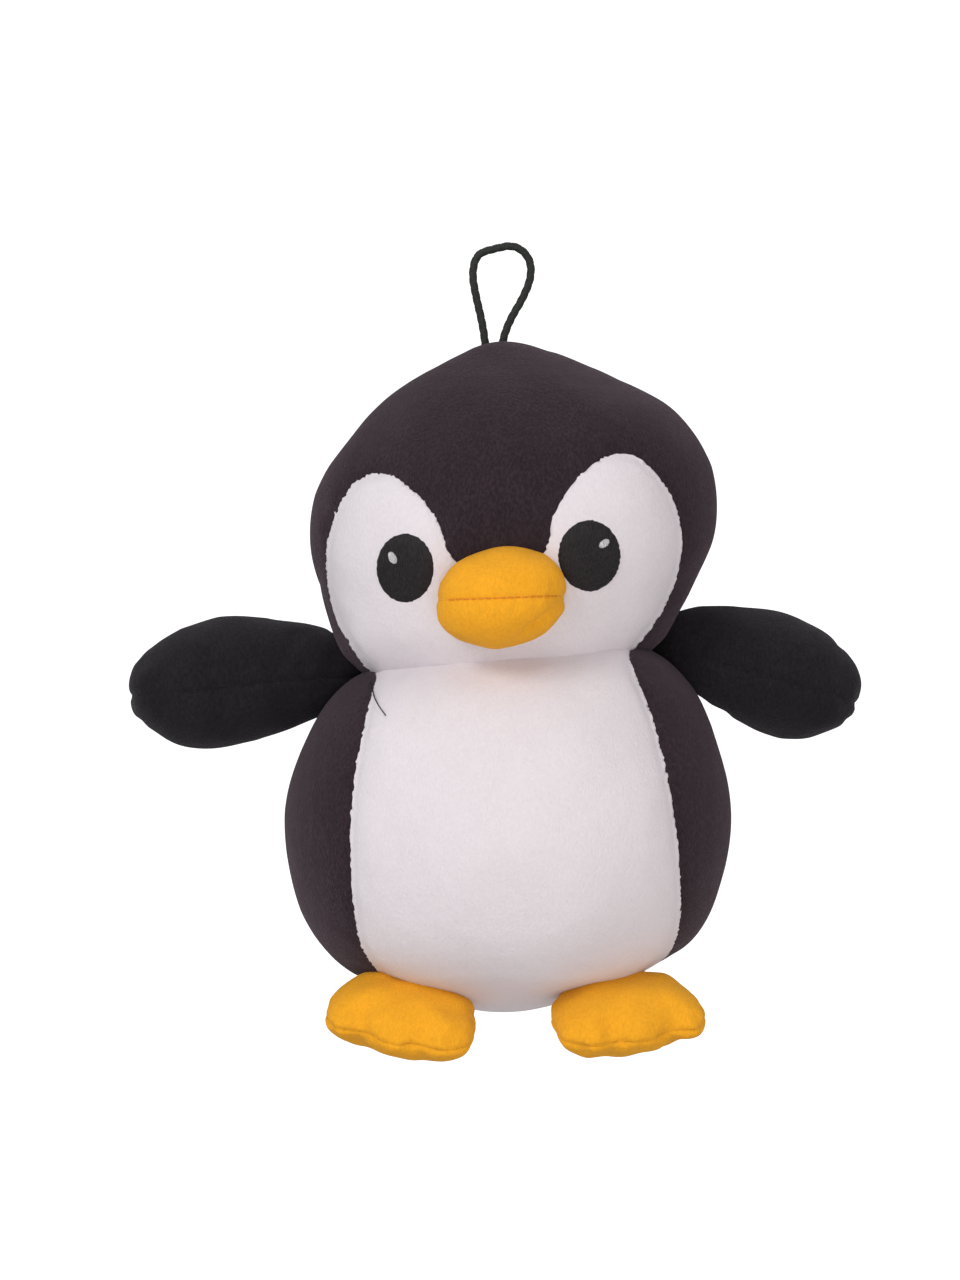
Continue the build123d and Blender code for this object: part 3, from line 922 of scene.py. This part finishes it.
# ---- hanging loop ------------------------------------------------------------------------
def build_loop():
    curve = bpy.data.curves.new("loop_route", "CURVE")
    curve.dimensions = "3D"
    curve.resolution_u = 16
    spline = curve.splines.new("NURBS")
    spline.points.add(len(LOOP_POINTS) - 1)
    for point, place in zip(spline.points, LOOP_POINTS):
        point.co = (*(v * MM for v in place), 1)
    spline.order_u = 3
    spline.use_endpoint_u = True
    guide = bpy.data.objects.new("loop_route", curve)
    bpy.context.scene.collection.objects.link(guide)
    route = bpy.data.meshes.new_from_object(guide.evaluated_get(bpy.context.evaluated_depsgraph_get()))
    path = np.array([v.co for v in route.vertices]) / MM
    bpy.data.objects.remove(guide)
    step = np.linalg.norm(np.diff(path, axis=0), axis=1)
    along = np.concatenate([[0], np.cumsum(step)])
    length = along[-1]
    samples = int(length / 0.22)
    at = np.linspace(0, length, samples)
    line = np.stack([np.interp(at, along, path[:, k]) for k in range(3)], 1)
    heading = np.gradient(line, axis=0)
    heading /= np.linalg.norm(heading, axis=1)[:, None]
    side = np.cross(heading, (0, 1, 0))
    side /= np.linalg.norm(side, axis=1)[:, None]
    other = np.cross(heading, side)
    count = 40
    rings = []
    for s, place, one, two in zip(at, line, side, other):
        ring = []
        for j in range(count):
            angle = 2 * pi * j / count
            weave = abs(sin(3 * angle + s * 1.9)) ** 0.6 * (0.5 + 0.5 * np.sign(sin(3 * angle - s * 1.9)))
            cross = abs(sin(3 * angle - s * 1.9)) ** 0.6 * (0.5 - 0.5 * np.sign(sin(3 * angle + s * 1.9)))
            radius = CORD_D / 2 * (0.88 + 0.12 * max(weave, cross))
            ring.append(place + (one * cos(angle) + two * sin(angle)) * radius)
        rings.append(ring)
    points, faces = ring_loft(rings, count, (line[0], line[-1]))
    obj = piece("hanging_loop_cord", points, triangles(faces), CORD, "braided_cord", "head",
                ["hanging_loop"], hem=0)
    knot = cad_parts["loop_knot"]
    for socket in knot.material_slots:
        socket.material = CORD
    path = [tuple(p * MM) for p in line[::4]] + [tuple(line[-1] * MM)]


# ---- studio ------------------------------------------------------------------------------
def studio_dome():
    """A round floor that curves up into a far wall on every side of the camera."""
    count, points, faces = 64, [(0, 0, -330)], []
    rows = [(1000, -330), (3500, -330), (5000, -200), (6000, 300), (6500, 1200), (6500, 4500)]
    for reach, z in rows:
        for j in range(count):
            angle = 2 * pi * j / count
            points.append((reach * cos(angle), reach * sin(angle), z))
    for j in range(count):
        k = (j + 1) % count
        faces.append((0, 1 + j, 1 + k))
        for i in range(len(rows) - 1):
            a, b = 1 + i * count, 1 + (i + 1) * count
            faces.append((a + j, b + j, b + k, a + k))
    return points, faces


def area_light(name, place, target, size, power, colour=(1, 1, 1)):
    light = bpy.data.lights.new(name, "AREA")
    light.shape = "DISK"
    light.size = size
    light.energy = power
    light.color = colour
    obj = bpy.data.objects.new(name, light)
    obj.location = place
    obj.rotation_euler = (Vector(target) - Vector(place)).to_track_quat("-Z", "Y").to_euler()
    bpy.context.scene.collection.objects.link(obj)


def build_studio():
    world = bpy.data.worlds.new("studio")
    world.use_nodes = True
    tree = world.node_tree
    air = tree.nodes["Background"]
    air.inputs["Color"].default_value = (1, 1, 1, 1)
    air.inputs["Strength"].default_value = AMBIENT
    bpy.context.scene.world = world
    white = bpy.data.materials.new("studio_white")
    white.use_nodes = True
    shader = white.node_tree.nodes["Principled BSDF"]
    shader.inputs["Base Color"].default_value = (0.85, 0.85, 0.85, 1)
    shader.inputs["Roughness"].default_value = 0.9
    shader.inputs["Emission Color"].default_value = (1, 1, 1, 1)
    shader.inputs["Emission Strength"].default_value = 0.75
    sweep = make_object("studio_sweep", *studio_dome())
    sweep.data.materials.append(white)
    sweep.visible_diffuse = False
    sweep.visible_glossy = False
    sweep.visible_shadow = False
    middle = (0, 0, -0.15)
    area_light("key", (-0.9, -1.3, 0.7), middle, 0.8, 14)
    area_light("fill", (1.3, -1.0, 0.1), middle, 1.2, 4.5, (1.0, 0.93, 0.88))
    area_light("low", (0.1, -1.6, -0.75), middle, 1.2, 7.5, (1.0, 0.92, 0.88))
    area_light("top", (-0.2, 0.3, 1.3), middle, 1.0, 4)
    camera = bpy.data.cameras.new("camera")
    camera.sensor_fit = "VERTICAL"
    camera.sensor_height = 24
    distance = 4.0
    camera.lens = 24 * distance / 0.4454
    eye = bpy.data.objects.new("camera", camera)
    eye.location = (-0.00905, -distance, -0.1347)
    eye.rotation_euler = (pi / 2, 0, 0)
    bpy.context.scene.collection.objects.link(eye)
    bpy.context.scene.camera = eye
    bpy.context.scene.view_settings.view_transform = "Standard"


build_studio()
build_loop()
head_skin = build_head()
body_skin = build_body()
for each in ("left", "right"):
    build_flipper(each)
    build_foot(each)
beak_skin = build_beak()
build_embroidery(head_skin, beak_skin)
build_threads(body_skin)
